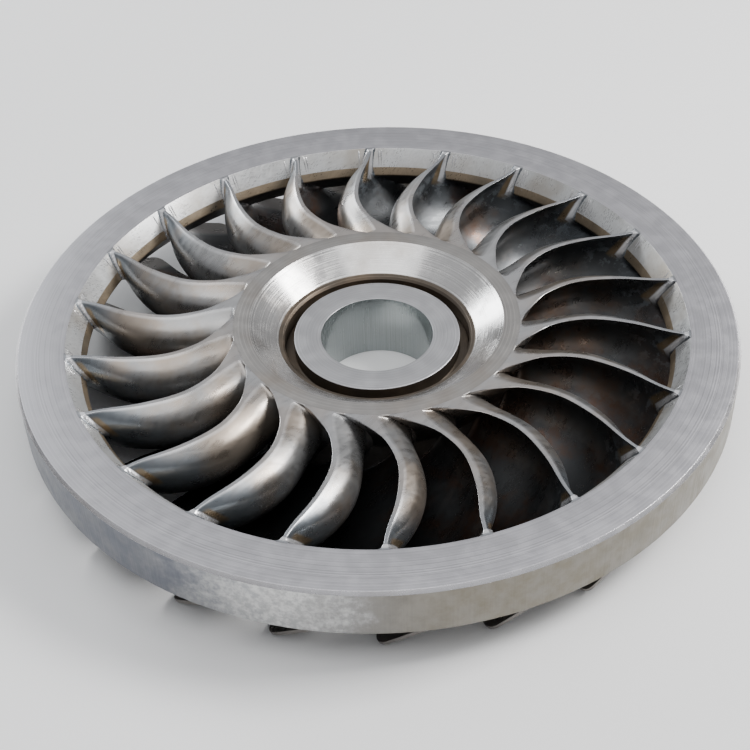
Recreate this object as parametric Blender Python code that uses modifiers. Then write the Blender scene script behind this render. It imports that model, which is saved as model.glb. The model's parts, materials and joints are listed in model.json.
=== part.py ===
"""Turgo turbine runner, 600 mm across: a flat hub with a bored boss, 22 cup-shaped blades
and an outer ring. The axis is +Z, the inlet side faces up, and the lowest face is at z = 0.
"""

import math

import bmesh
import bpy
from mathutils import Vector

# Driving dimensions, in metres.
HEIGHT = 0.078              # boss foot to the machined inlet plane
RING_RADIUS = 0.300
RING_INNER_RADIUS = 0.2595
RING_HEIGHT = 0.0435
RING_CHAMFER = 0.0025
RING_WAIST_RADIUS = 0.2450  # where the ring's inner wall, which leans inwards, is narrowest
RING_WAIST_DEPTH = 0.0220
RING_FOOT_RADIUS = 0.2625   # inner edge of the ring's foot
RECESS_RADIUS = 0.1068      # rim of the polished dish in the hub face
SHOULDER_RADIUS = 0.0830
SHOULDER_DEPTH = 0.0190
SHOULDER_LAND = 0.0018      # narrow step at the foot of the dish, before the hub's bore
SHOULDER_RISE = 0.0006
SHOULDER_ROUND = 0.0022
HUB_BORE_RADIUS = 0.0785
ROOT_RADIUS = 0.1215        # the hub's wall between the blades
FINGER_RADIUS = 0.1470      # how far the hub face reaches out along a blade
HUB_DEPTH = 0.0650
BOSS_RADIUS = 0.0703
BOSS_DEPTH = 0.0185         # boss face below the inlet plane
BOSS_BEVEL = 0.0008
BORE_RADIUS = 0.0474
GROOVE_DEPTH = 0.0330
GROOVE_UNDERCUT = 0.0012
BLADE_DEPTH = 0.0740
TIP_RADIUS = 0.2865
BLADES = 22
FIRST_BLADE_ANGLE = math.radians(8.2)
SEAT_GAP = 0.0003
ROOT_OVERLAP = 0.0040       # how far an uncut blade runs into the hub
FINGER_CLEARANCE = 0.0080   # from a finger to the middle of the wall of the blade before it

PITCH = 2 * math.pi / BLADES
INLET_Z = HEIGHT

# The blade's leading edge seen from above, hub to tip: radius and angle from its ring end.
LEADING_EDGE = [
    (0.1200, math.radians(-2.2)),
    (0.1380, math.radians(0.6)),
    (0.1600, math.radians(4.0)),
    (0.1800, math.radians(4.9)),
    (0.2100, math.radians(3.4)),
    (0.2400, math.radians(0.9)),
    (0.2595, math.radians(0.0)),
    (0.2865, math.radians(-0.8)),
]
# The trailing edge, a pitch behind: radius and angle from the same point.
TRAILING_EDGE = [
    (0.1200, math.radians(-16.0)),
    (0.1700, math.radians(-18.6)),
    (0.2100, math.radians(-18.8)),
    (0.2450, math.radians(-17.6)),
    (0.2750, math.radians(-18.2)),
    (0.2865, math.radians(-18.4)),
]
# The handles of the blade's section, hub to tip: how far forward of the leading edge and how far
# below it the first one lies, then the length of the second and its slope up from the outlet.
BELLY_REACH = [
    (0.1200, 0.0411),
    (0.1400, 0.0371),
    (0.1650, 0.0317),
    (0.1950, 0.0317),
    (0.2250, 0.0260),
    (0.2475, 0.0085),
    (0.2595, 0.0025),
    (0.2865, 0.0150),
]
BELLY_DROP = [(0.1200, 0.0176), (0.1800, 0.0191), (0.2250, 0.0208), (0.2595, 0.0181), (0.2865, 0.0165)]
OUTLET_REACH = [(0.1200, 0.0643), (0.1950, 0.0895), (0.2595, 0.0616), (0.2865, 0.0900)]
OUTLET_SLOPE = [
    (0.1200, math.radians(23.3)),
    (0.1950, math.radians(3.9)),
    (0.2595, math.radians(15.4)),
    (0.2865, math.radians(22)),
]
# Width of the blade's flat top edge, hub to tip, and the thickness of its wall down the section.
EDGE_WIDTH = [(0.1200, 0.0048), (0.1500, 0.0042), (0.1950, 0.0036), (0.2595, 0.0026), (0.2865, 0.0024)]
WALL = [(0.0, 0.0030), (0.35, 0.0062), (0.7, 0.0052), (1.0, 0.0030)]
TOP_BLEND = 0.12            # share of the section in which the flat edge becomes the wall
SLOPE_STEP = 0.01           # share of the section either side of a point that gives its slope
# The root finger behind a blade, from the hub's wall to its tip: radius and angle from the
# blade's ring end.
FINGER = [
    (ROOT_RADIUS, math.radians(-14.2)),
    (0.1243, math.radians(-10.4)),
    (0.1302, math.radians(-6.6)),
    (0.1380, math.radians(-2.9)),
    (FINGER_RADIUS, math.radians(0.8)),
]
# Depth below the inlet plane and the share of the finger's reach that is left there.
FINGER_LEVELS = [
    (0.0, 1.0),
    (0.0040, 0.96),
    (0.0080, 0.88),
    (0.0120, 0.73),
    (0.0160, 0.55),
    (0.0210, 0.34),
    (0.0260, 0.16),
    (0.0340, 0.0),
]
FINGER_BACK_CELLS = 3       # cells of its outline inside the blade, from tip to root
BISECTIONS = 20             # halvings that find a depth on the blade's section

TURNED_STEPS = 4 * BLADES
MERGE_DISTANCE = 0.00005
SHARP_ANGLE = math.radians(40)
SPAN_CELLS = 10
SECTION_CELLS = 10
# Stations that round the tip's trailing corner: distance from the tip and the share kept.
TIP_STATIONS = [(0.0130, 1.0), (0.0040, 0.995), (0.0, 0.975)]


def clear_scene():
    for obj in list(bpy.data.objects):
        bpy.data.objects.remove(obj, do_unlink=True)


def new_collection(name):
    collection = bpy.data.collections.new(name)
    bpy.context.scene.collection.children.link(collection)
    return collection


def make_material(name, colour, roughness):
    material = bpy.data.materials.new(name)
    material.use_nodes = True
    shader = material.node_tree.nodes["Principled BSDF"]
    shader.inputs["Base Color"].default_value = (*colour, 1.0)
    shader.inputs["Metallic"].default_value = 1.0
    shader.inputs["Roughness"].default_value = roughness
    return material


def add_object(name, mesh, collection, material=None):
    obj = bpy.data.objects.new(name, mesh)
    collection.objects.link(obj)
    if material:
        mesh.materials.clear()
        mesh.materials.append(material)
    return obj


def hide_as_cutter(obj):
    obj.hide_render = True
    obj.display_type = "WIRE"


def through(points, x):
    """The smooth curve through (x, y) points, read at x, with level ends beyond them."""
    if x <= points[0][0]:
        return points[0][1]
    if x >= points[-1][0]:
        return points[-1][1]
    last = len(points) - 1
    i = max(j for j in range(last) if points[j][0] <= x)

    def slope(j):
        before, after = points[max(j - 1, 0)], points[min(j + 1, last)]
        return (after[1] - before[1]) / (after[0] - before[0])

    (x0, y0), (x1, y1) = points[i], points[i + 1]
    width = x1 - x0
    t = (x - x0) / width
    return (
        (2 * t**3 - 3 * t**2 + 1) * y0
        + (t**3 - 2 * t**2 + t) * width * slope(i)
        + (3 * t**2 - 2 * t**3) * y1
        + (t**3 - t**2) * width * slope(i + 1)
    )


def polar(radius, angle, z):
    return Vector((radius * math.cos(angle), radius * math.sin(angle), z))


def evaluated_mesh(obj):
    graph = bpy.context.evaluated_depsgraph_get()
    return bpy.data.meshes.new_from_object(obj.evaluated_get(graph))


def smooth(mesh):
    mesh.shade_smooth()
    mesh.set_sharp_from_angle(angle=SHARP_ANGLE)


def turned(name, profile, collection, material=None):
    """A closed (radius, z) profile turned about the axis, smooth round it and sharp along it."""
    mesh = bpy.data.meshes.new(name)
    count = len(profile)
    edges = [(i, (i + 1) % count) for i in range(count)]
    mesh.from_pydata([(radius, 0, z) for radius, z in profile], edges, [])
    obj = add_object(name, mesh, collection, material)
    screw = obj.modifiers.new("turn", "SCREW")
    screw.steps = TURNED_STEPS
    screw.render_steps = TURNED_STEPS
    screw.use_merge_vertices = True
    screw.merge_threshold = MERGE_DISTANCE
    obj.data = evaluated_mesh(obj)
    obj.modifiers.clear()
    smooth(obj.data)
    return obj


def ring_profile(gap=0.0):
    """The outer ring's section, grown by a gap on the sides that face the blades."""
    top = INLET_Z + gap
    foot = INLET_Z - RING_HEIGHT - gap
    return [
        (RING_RADIUS - RING_CHAMFER, top),
        (RING_RADIUS, top - RING_CHAMFER),
        (RING_RADIUS, foot),
        (RING_FOOT_RADIUS - gap, foot),
        (RING_WAIST_RADIUS - gap, INLET_Z - RING_WAIST_DEPTH),
        (RING_INNER_RADIUS - gap, top),
    ]


def hub_profile():
    """The hub's section: outer wall, foot, bore, and the dish up to the flat face."""
    foot = INLET_Z - HUB_DEPTH
    shoulder = INLET_Z - SHOULDER_DEPTH
    return [
        (ROOT_RADIUS, INLET_Z),
        (ROOT_RADIUS, foot),
        (HUB_BORE_RADIUS, foot),
        (HUB_BORE_RADIUS, shoulder - SHOULDER_ROUND),
        (HUB_BORE_RADIUS + SHOULDER_LAND, shoulder),
        (SHOULDER_RADIUS, shoulder + SHOULDER_RISE),
        (RECESS_RADIUS, INLET_Z),
    ]


def hub_cutter_profile():
    """What a blade keeps clear of: the hub's outer wall, carried on below its foot."""
    wall = ROOT_RADIUS + SEAT_GAP
    top = INLET_Z + SEAT_GAP
    return [(wall, top), (wall, 0.0), (RECESS_RADIUS, 0.0), (RECESS_RADIUS, top)]


def boss_profile():
    """The bored sleeve on the axis, with the flange under the groove that the hub sits on."""
    face = INLET_Z - BOSS_DEPTH
    flange = HUB_BORE_RADIUS - SEAT_GAP
    return [
        (BORE_RADIUS + BOSS_BEVEL, face),
        (BOSS_RADIUS - BOSS_BEVEL, face),
        (BOSS_RADIUS, face - BOSS_BEVEL),
        (BOSS_RADIUS - GROOVE_UNDERCUT, INLET_Z - GROOVE_DEPTH),
        (flange, INLET_Z - GROOVE_DEPTH),
        (flange, BOSS_BEVEL),
        (flange - BOSS_BEVEL, 0.0),
        (BORE_RADIUS + BOSS_BEVEL, 0.0),
        (BORE_RADIUS, BOSS_BEVEL),
        (BORE_RADIUS, face - BOSS_BEVEL),
    ]


def closed_mesh(name, shape):
    """A mesh from a finished bmesh, with triangles that all face outwards."""
    bmesh.ops.recalc_face_normals(shape, faces=shape.faces)
    bmesh.ops.triangulate(shape, faces=shape.faces)
    mesh = bpy.data.meshes.new(name)
    shape.to_mesh(mesh)
    shape.free()
    return mesh


def section_point(radius, share):
    """The middle of the blade's wall at a radius: (forward along the arc, depth)."""
    behind = through(TRAILING_EDGE, radius) - through(LEADING_EDGE, radius)
    outlet = Vector((behind * radius, -BLADE_DEPTH))
    slope = through(OUTLET_SLOPE, radius)
    reach = through(OUTLET_REACH, radius)
    first = Vector((through(BELLY_REACH, radius), -through(BELLY_DROP, radius)))
    second = outlet + reach * Vector((math.cos(slope), math.sin(slope)))
    rest = 1 - share
    return 3 * rest**2 * share * first + 3 * rest * share**2 * second + share**3 * outlet


def edge_blend(share):
    """How far the flat top edge has become the wall: 0 at the inlet plane, then 1."""
    return min(share / TOP_BLEND, 1.0)


def wall_middle(radius, share):
    """The middle of the wall, which starts under the middle of the flat top edge."""
    shift = through(EDGE_WIDTH, radius) / 2 * (1 - edge_blend(share))
    return section_point(radius, share) - Vector((shift, 0.0))


def wall_point(radius, share, side):
    """A point on the blade's convex (side 1) or concave (side -1) face, about its own angle."""
    ahead = section_point(radius, min(share + SLOPE_STEP, 1.0))
    behind = section_point(radius, max(share - SLOPE_STEP, 0.0))
    along = (ahead - behind).normalized()
    normal = Vector((-along.y, along.x))
    level = Vector((1.0, 0.0)) * through(EDGE_WIDTH, radius)
    blend = edge_blend(share)
    thickness = level * (1 - blend) + normal * through(WALL, share) * blend
    point = wall_middle(radius, share) + side * thickness / 2
    return polar(radius, through(LEADING_EDGE, radius) + point.x / radius, INLET_Z + point.y)


def wall_angle(radius, depth):
    """The angle of the middle of the blade's wall where it is this far below the inlet plane."""
    low, high = 0.0, 1.0
    for _ in range(BISECTIONS):
        share = (low + high) / 2
        if -wall_middle(radius, share).y < depth:
            low = share
        else:
            high = share
    return through(LEADING_EDGE, radius) + wall_middle(radius, low).x / radius


def blade_mesh():
    """One blade: two lofted faces from hub to ring, closed along its four edges."""
    start = ROOT_RADIUS - ROOT_OVERLAP
    end = TIP_RADIUS - TIP_STATIONS[0][0]
    stations = [(start + (end - start) * i / SPAN_CELLS, 1.0) for i in range(SPAN_CELLS)]
    stations += [(TIP_RADIUS - inset, kept) for inset, kept in TIP_STATIONS]
    shape = bmesh.new()
    grids = []
    for side in (1, -1):
        grid = []
        for radius, kept in stations:
            shares = [kept * j / SECTION_CELLS for j in range(SECTION_CELLS + 1)]
            grid.append([shape.verts.new(wall_point(radius, share, side)) for share in shares])
        grids.append(grid)
    convex, concave = grids
    cells = len(stations) - 1
    for i in range(cells):
        for j in range(SECTION_CELLS):
            for grid in grids:
                shape.faces.new((grid[i][j], grid[i + 1][j], grid[i + 1][j + 1], grid[i][j + 1]))
    for i in range(cells):
        for j in (0, SECTION_CELLS):
            shape.faces.new((convex[i][j], convex[i + 1][j], concave[i + 1][j], concave[i][j]))
    for j in range(SECTION_CELLS):
        for i in (0, cells):
            shape.faces.new((convex[i][j], convex[i][j + 1], concave[i][j + 1], concave[i][j]))
    return closed_mesh("blade", shape)


def finger_outline(depth, share):
    """The finger's outline at a depth: out along its scooped side, and back inside the blade."""
    inside = ROOT_RADIUS - ROOT_OVERLAP
    tip = ROOT_RADIUS + share * (FINGER_RADIUS - ROOT_RADIUS)
    sweep = wall_angle(tip, depth) - wall_angle(tip, 0.0)

    def clear(radius, angle):
        return radius, max(angle, wall_angle(radius, depth) - PITCH + FINGER_CLEARANCE / radius)

    outline = [clear(inside, FINGER[0][1])]
    for full, angle in FINGER[:-1]:
        reach = (full - ROOT_RADIUS) / (FINGER_RADIUS - ROOT_RADIUS)
        outline.append(clear(ROOT_RADIUS + share * (full - ROOT_RADIUS), angle + sweep * reach))
    for step in range(FINGER_BACK_CELLS + 1):
        radius = tip + (inside - tip) * step / FINGER_BACK_CELLS
        outline.append((radius, wall_angle(radius, depth)))
    return outline


def finger_mesh():
    """The root finger: the hub's flat face carried out behind a blade, shrinking downwards."""
    shape = bmesh.new()
    loops = []
    for depth, share in FINGER_LEVELS:
        outline = finger_outline(depth, share)
        corners = [polar(radius, angle, INLET_Z - depth) for radius, angle in outline]
        loops.append([shape.verts.new(corner) for corner in corners])
    for upper, lower in zip(loops, loops[1:]):
        for i in range(len(upper)):
            j = (i + 1) % len(upper)
            shape.faces.new((upper[i], upper[j], lower[j], lower[i]))
    for loop in (loops[0], loops[-1]):
        shape.faces.new(loop)
    return closed_mesh("finger", shape)


def combined(obj, operation, others):
    """Adds a Boolean with each of the others to the object."""
    for other in others:
        boolean = obj.modifiers.new(other.name, "BOOLEAN")
        boolean.operation = operation
        boolean.solver = "EXACT"
        boolean.object = other


def build_ring(parts):
    steel = make_material("ring_steel", (0.47, 0.46, 0.49), 0.34)
    turned("outer_ring", ring_profile(), parts, steel)


def build_hub(parts):
    steel = make_material("hub_steel", (0.38, 0.37, 0.36), 0.36)
    turned("hub_disc", hub_profile(), parts, steel)


def build_boss(parts):
    steel = make_material("boss_steel", (0.45, 0.45, 0.46), 0.25)
    turned("shaft_boss", boss_profile(), parts, steel)


def build_blades(parts, helpers):
    """The blades: one shape, with its root finger, cut clear of the hub and the ring."""
    steel = make_material("blade_steel", (0.42, 0.40, 0.38), 0.22)
    finger = add_object("root_finger", finger_mesh(), helpers)
    finger.rotation_euler.z = FIRST_BLADE_ANGLE
    hub = turned("hub_cutter", hub_cutter_profile(), helpers)
    ring = turned("ring_cutter", ring_profile(SEAT_GAP), helpers)
    for helper in (finger, hub, ring):
        hide_as_cutter(helper)
    whole = add_object("uncut_blade", blade_mesh(), parts)
    whole.rotation_euler.z = FIRST_BLADE_ANGLE
    combined(whole, "UNION", [finger])
    combined(whole, "DIFFERENCE", [hub, ring])
    mesh = evaluated_mesh(whole)
    bpy.data.objects.remove(whole, do_unlink=True)
    smooth(mesh)
    for number in range(BLADES):
        blade = add_object(f"blade_{number + 1:02d}", mesh, parts, steel)
        blade.rotation_euler.z = FIRST_BLADE_ANGLE + number * PITCH


def main():
    clear_scene()
    parts = new_collection("turgo_runner")
    helpers = new_collection("cutters")
    build_ring(parts)
    build_hub(parts)
    build_boss(parts)
    build_blades(parts, helpers)


main()
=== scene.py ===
"""Looks of a turgo turbine runner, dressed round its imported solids.

The runner is one steel casting with machined faces: an outer ring, a hub with a dished face, a
bored boss and 22 cup-shaped blades. Sizes are in metres, +Z is the axis and the inlet side is up.
"""

from __future__ import annotations

import json
import logging
import math
from abc import ABC, abstractmethod
from collections.abc import Callable, Sequence
from dataclasses import dataclass
from enum import Enum

import bmesh
import bpy
import numpy as np
from mathutils import Matrix, Vector

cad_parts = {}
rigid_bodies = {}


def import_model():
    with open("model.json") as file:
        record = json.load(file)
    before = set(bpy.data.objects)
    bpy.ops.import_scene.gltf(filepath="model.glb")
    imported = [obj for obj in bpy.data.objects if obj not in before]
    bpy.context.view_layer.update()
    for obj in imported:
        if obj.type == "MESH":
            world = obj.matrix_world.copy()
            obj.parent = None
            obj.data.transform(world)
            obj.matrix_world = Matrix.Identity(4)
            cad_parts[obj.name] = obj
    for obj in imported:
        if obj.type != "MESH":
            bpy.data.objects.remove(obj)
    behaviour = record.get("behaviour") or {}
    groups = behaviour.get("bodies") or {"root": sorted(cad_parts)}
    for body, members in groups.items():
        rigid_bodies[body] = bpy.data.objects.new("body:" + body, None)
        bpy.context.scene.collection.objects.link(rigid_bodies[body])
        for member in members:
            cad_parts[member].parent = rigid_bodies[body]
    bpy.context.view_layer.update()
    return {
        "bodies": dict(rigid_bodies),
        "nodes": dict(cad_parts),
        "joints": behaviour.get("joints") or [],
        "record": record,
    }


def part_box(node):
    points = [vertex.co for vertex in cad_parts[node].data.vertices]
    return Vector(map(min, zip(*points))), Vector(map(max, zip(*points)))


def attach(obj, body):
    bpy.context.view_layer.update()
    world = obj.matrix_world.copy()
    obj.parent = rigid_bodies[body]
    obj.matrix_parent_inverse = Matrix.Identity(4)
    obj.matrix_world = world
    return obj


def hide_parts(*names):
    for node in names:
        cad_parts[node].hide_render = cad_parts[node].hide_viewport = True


LOG = logging.getLogger("runner")
MM = 0.001
BODY = "root"
SHARP_ANGLE = math.radians(33)
MERGE_DISTANCE = 0.002 * MM

Material = bpy.types.Material
Mesh = bpy.types.Mesh
Socket = bpy.types.NodeSocket
Colour = tuple[float, float, float]
# A smooth step: from this value, to this value, and then what it starts and ends at.
Step = tuple[float, ...]
# Noise: its scale, detail and roughness.
Grain = tuple[float, ...]
# A corner of an outline: its radius, its height and the radius of its rounding.
Corner = tuple[float, float, float]
# Tells from a face's radius, height and normal whether it belongs to a zone.
Rule = Callable[[float, float, Vector], bool]
Zone = tuple[Material, Rule]


class Marks(Enum):
    """Which way the fine marks of a finish run."""

    ROUND = "round the axis, from the lathe"
    ALONG = "along the axis, from the hone or the grinding belt"
    CROSSED = "every way, from hand polishing"


class Side(Enum):
    """The two faces of a blade."""

    CONVEX = 1
    CONCAVE = -1


@dataclass(frozen=True)
class SmoothCurve:
    """A smooth curve through a few (x, y) points, level beyond its ends."""

    points: tuple[tuple[float, float], ...]

    @classmethod
    def degrees(cls, *points: tuple[float, float]) -> SmoothCurve:
        """Makes a curve of angles through points given as (x, degrees)."""
        return cls(tuple((x, math.radians(angle)) for x, angle in points))

    def at(self, x: float | np.ndarray) -> np.ndarray:
        """Reads the curve.

        Args:
            x: One place or an array of them.

        Returns:
            The curve's height at each place.
        """
        xs, ys = (np.array(column) for column in zip(*self.points))
        place = np.clip(np.asarray(x, float), xs[0], xs[-1])
        cell = np.clip(np.searchsorted(xs, place, side="right") - 1, 0, len(xs) - 2)
        width = np.diff(xs)
        slope = np.empty_like(ys)
        slope[1:-1] = (ys[2:] - ys[:-2]) / (xs[2:] - xs[:-2])
        slope[0], slope[-1] = (ys[1] - ys[0]) / width[0], (ys[-1] - ys[-2]) / width[-1]
        t = (place - xs[cell]) / width[cell]
        return (
            (2 * t**3 - 3 * t**2 + 1) * ys[cell]
            + (t**3 - 2 * t**2 + t) * width[cell] * slope[cell]
            + (3 * t**2 - 2 * t**3) * ys[cell + 1]
            + (t**3 - t**2) * width[cell] * slope[cell + 1]
        )


@dataclass(frozen=True)
class RunnerPlan:
    """Sizes that the pieces share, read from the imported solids."""

    inlet: float
    ring_radius: float
    ring_foot: float
    hub_radius: float
    hub_foot: float
    boss_face: float
    blades: int
    ring_inner: float = 259.5 * MM
    waist_radius: float = 245.0 * MM
    waist_depth: float = 22.0 * MM
    foot_inner: float = 262.5 * MM
    edge_round: float = 0.5 * MM
    hub_round: float = 1.2 * MM
    first_angle: float = math.radians(8.2)

    @classmethod
    def read(cls, nodes: Sequence[str]) -> RunnerPlan:
        """Measures the frame.

        Args:
            nodes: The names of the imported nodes.

        Returns:
            The plan of this runner.
        """
        ring_low, ring_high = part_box("outer_ring")
        hub_low, hub_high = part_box("hub_disc")
        return cls(
            inlet=ring_high.z,
            ring_radius=ring_high.x,
            ring_foot=ring_low.z,
            hub_radius=hub_high.x,
            hub_foot=hub_low.z,
            boss_face=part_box("shaft_boss")[1].z,
            blades=sum(name.startswith("blade_") for name in nodes),
        )

    @property
    def pitch(self) -> float:
        """The angle from one blade to the next."""
        return 2 * math.pi / self.blades

    def wall_at(self, depths: np.ndarray) -> np.ndarray:
        """The radius of the ring's inner wall, which leans in to its waist, at some depths."""
        levels = (0.0, self.waist_depth, self.inlet - self.ring_foot)
        return np.interp(depths, levels, (self.ring_inner, self.waist_radius, self.foot_inner))


class NodeSheet:
    """A node tree, built with short calls."""

    def __init__(self, tree: bpy.types.NodeTree) -> None:
        """Takes the tree to build in."""
        self.tree = tree

    def add(self, kind: str, inputs: dict[str | int, object], **settings: object) -> bpy.types.Node:
        """Adds a node.

        Args:
            kind: The node's type name.
            inputs: Sockets to link, or values to set, by name or number.
            **settings: The node's own properties.

        Returns:
            The new node.
        """
        node = self.tree.nodes.new(kind)
        for name, value in settings.items():
            setattr(node, name, value)
        for name, value in inputs.items():
            self.feed(node.inputs[name], value)
        return node

    def feed(self, socket: Socket, value: object) -> None:
        """Links a socket to another, or sets its value.

        Args:
            socket: The input.
            value: The socket or the value that it gets.
        """
        if isinstance(value, bpy.types.NodeSocket):
            self.tree.links.new(value, socket)
        else:
            socket.default_value = value


class ShaderSheet(NodeSheet):
    """A material's node tree."""

    def __init__(self, name: str) -> None:
        """Makes a material with an empty Principled surface.

        Args:
            name: The material's name.
        """
        self.material = bpy.data.materials.new(name)
        self.material.use_nodes = True
        super().__init__(self.material.node_tree)
        self.surface = self.tree.nodes["Principled BSDF"].inputs

    def sum(self, operation: str, first: object, second: object = 0.0) -> Socket:
        """Adds a Math node and returns its result."""
        return self.add("ShaderNodeMath", {0: first, 1: second}, operation=operation).outputs[0]

    def product(self, *factors: object) -> Socket:
        """Multiplies values and returns the result.

        Args:
            *factors: Sockets or numbers.

        Returns:
            The product's socket.
        """
        result = factors[0]
        for factor in factors[1:]:
            result = self.sum("MULTIPLY", result, factor)
        return result

    def distance(self, value: Socket, middle: float) -> Socket:
        """How far a value is from another."""
        return self.sum("ABSOLUTE", self.sum("SUBTRACT", value, middle))

    def drifted(self, value: Socket, noise: Socket, reach: float) -> Socket:
        """A value, moved up and down by a noise from 0 to 1."""
        return self.sum("ADD", value, self.product(self.sum("SUBTRACT", noise, 0.5), reach))

    def place(self) -> Socket:
        """The point's place on the object."""
        return self.add("ShaderNodeTexCoord", {}).outputs["Object"]

    def split(self, vector: Socket) -> tuple[Socket, Socket, Socket]:
        """The three parts of a vector."""
        parts = self.add("ShaderNodeSeparateXYZ", {0: vector}).outputs
        return parts[0], parts[1], parts[2]

    def attribute(self, name: str) -> Socket:
        """A value that the mesh carries at each point."""
        return self.add("ShaderNodeAttribute", {}, attribute_name=name).outputs["Fac"]

    def radius(self) -> Socket:
        """The distance from the runner's axis."""
        x, y, _ = self.split(self.place())
        return self.sum("SQRT", self.sum("ADD", self.product(x, x), self.product(y, y)))

    def angle(self) -> Socket:
        """The angle round the runner's axis."""
        x, y, _ = self.split(self.place())
        return self.sum("ARCTAN2", y, x)

    def stretched(self, scale: tuple[float, float, float], turn: float) -> Socket:
        """The point's place, turned about the axis and then scaled along X, Y and Z.

        Args:
            scale: The scale along each axis.
            turn: The angle that the place is turned by.

        Returns:
            The vector's socket.
        """
        turning = {"Vector": self.place(), "Rotation": (0.0, 0.0, turn)}
        turned = self.add("ShaderNodeMapping", turning).outputs[0]
        return self.add("ShaderNodeMapping", {"Vector": turned, "Scale": scale}).outputs[0]

    def noise(
        self, scale: float, detail: float = 4.0, rough: float = 0.55, over: Socket | None = None
    ) -> Socket:
        """Cloudy noise from 0 to 1, over the point's place or another vector."""
        grain = {"Scale": scale, "Detail": detail, "Roughness": rough}
        return self.add("ShaderNodeTexNoise", {"Vector": over or self.place(), **grain}).outputs[0]

    def lines(self, along: Socket, scale: float) -> Socket:
        """Noise from 0 to 1 that changes along one value only, for parallel marks."""
        inputs = {"W": along, "Scale": scale, "Detail": 3.0, "Roughness": 0.6}
        return self.add("ShaderNodeTexNoise", inputs, noise_dimensions="1D").outputs[0]

    def ramp(
        self, value: Socket, low: float, high: float, start: float = 0.0, end: float = 1.0
    ) -> Socket:
        """Reads a value as a smooth step: start up to low, and end from high on.

        Args:
            value: What is read.
            low: The value at which the result is start.
            high: The value at which the result is end.
            start: The result up to low.
            end: The result from high on.

        Returns:
            The result's socket.
        """
        steps = {"From Min": low, "From Max": high, "To Min": start, "To Max": end}
        kind, inputs = "ShaderNodeMapRange", {"Value": value, **steps}
        return self.add(kind, inputs, interpolation_type="SMOOTHSTEP").outputs[0]

    def mix(self, share: object, first: object, second: object) -> Socket:
        """Mixes two colours by a share of the second.

        Args:
            share: How much of the second colour shows, from 0 to 1.
            first: A colour or its socket.
            second: Another one.

        Returns:
            The mixed colour's socket.
        """
        colours = [(*c, 1.0) if isinstance(c, tuple) else c for c in (first, second)]
        node = self.add("ShaderNodeMix", {0: share, 6: colours[0], 7: colours[1]}, data_type="RGBA")
        return node.outputs[2]

    def bump(self, height: Socket, depth: float, under: Socket | None = None) -> Socket:
        """Adds relief of a depth in metres, over an earlier relief if there is one.

        Args:
            height: The relief, from 0 to 1.
            depth: How deep it is.
            under: The normal of the earlier relief.

        Returns:
            The new normal's socket.
        """
        inputs = {"Height": height, "Distance": depth, "Strength": 1.0}
        if under:
            inputs["Normal"] = under
        return self.add("ShaderNodeBump", inputs).outputs[0]


@dataclass(frozen=True)
class SteelFinish:
    """A machined, ground or polished steel surface."""

    name: str
    colour: Colour
    roughness: float
    marks: Marks
    metal: float = 0.85
    stain: Colour = (0.26, 0.19, 0.13)
    stained: float = 0.15
    mark_scale: float = 900.0
    mark_depth: float = 0.012 * MM
    cloud_scale: float = 22.0
    dent_depth: float = 0.0
    mark_shade: float = 0.82
    around_share: float = 0.25
    patch_ratio: float = 3.0
    dent_ratio: float = 4.0
    dent_detail: float = 2.0
    stain_step: Step = (0.45, 0.75, 0.0)
    mark_step: Step = (0.35, 0.65)
    gloss_in_marks: Step = (0.3, 0.7, -0.06, 0.06)
    gloss_in_patches: Step = (0.35, 0.7, -0.05, 0.06)
    strokes: tuple[tuple[Colour, float], ...] = (
        ((1.0, 0.07, 0.4), math.radians(35)),
        ((0.08, 1.0, 0.5), math.radians(-20)),
    )

    def marks_on(self, sheet: ShaderSheet) -> Socket:
        """The fine marks, from 0 to 1, in the direction that the tool left them.

        Args:
            sheet: The tree to build in.

        Returns:
            The marks' socket.
        """
        if self.marks is Marks.ROUND:
            height = sheet.split(sheet.place())[2]
            return sheet.lines(sheet.sum("ADD", sheet.radius(), height), self.mark_scale)
        if self.marks is Marks.ALONG:
            return sheet.lines(sheet.angle(), self.mark_scale * self.around_share)
        first, second = (
            sheet.noise(self.mark_scale, over=sheet.stretched(*stroke)) for stroke in self.strokes
        )
        return sheet.sum("MAXIMUM", first, second)

    def colour_on(self, sheet: ShaderSheet, marks: Socket) -> Socket:
        """The colour: the steel, stained in clouds and a little darker in its marks.

        Args:
            sheet: The tree to build in.
            marks: The fine marks.

        Returns:
            The colour's socket.
        """
        stained = sheet.ramp(sheet.noise(self.cloud_scale), *self.stain_step, self.stained)
        dark = tuple(self.mark_shade * part for part in self.colour)
        steel = sheet.mix(sheet.ramp(marks, *self.mark_step), dark, self.colour)
        return sheet.mix(stained, steel, self.stain)

    def build(self) -> Material:
        """Builds the material.

        Returns:
            The finished material.
        """
        sheet = ShaderSheet(self.name)
        marks = self.marks_on(sheet)
        patches = sheet.noise(self.cloud_scale * self.patch_ratio)
        rough = sheet.sum("ADD", sheet.ramp(marks, *self.gloss_in_marks), self.roughness)
        rough = sheet.sum("ADD", rough, sheet.ramp(patches, *self.gloss_in_patches))
        relief = sheet.bump(marks, self.mark_depth)
        if self.dent_depth:
            dents = sheet.noise(self.cloud_scale * self.dent_ratio, self.dent_detail)
            relief = sheet.bump(dents, self.dent_depth, relief)
        sheet.surface["Metallic"].default_value = self.metal
        sheet.feed(sheet.surface["Base Color"], self.colour_on(sheet, marks))
        sheet.feed(sheet.surface["Roughness"], rough)
        sheet.feed(sheet.surface["Normal"], relief)
        return sheet.material


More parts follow.
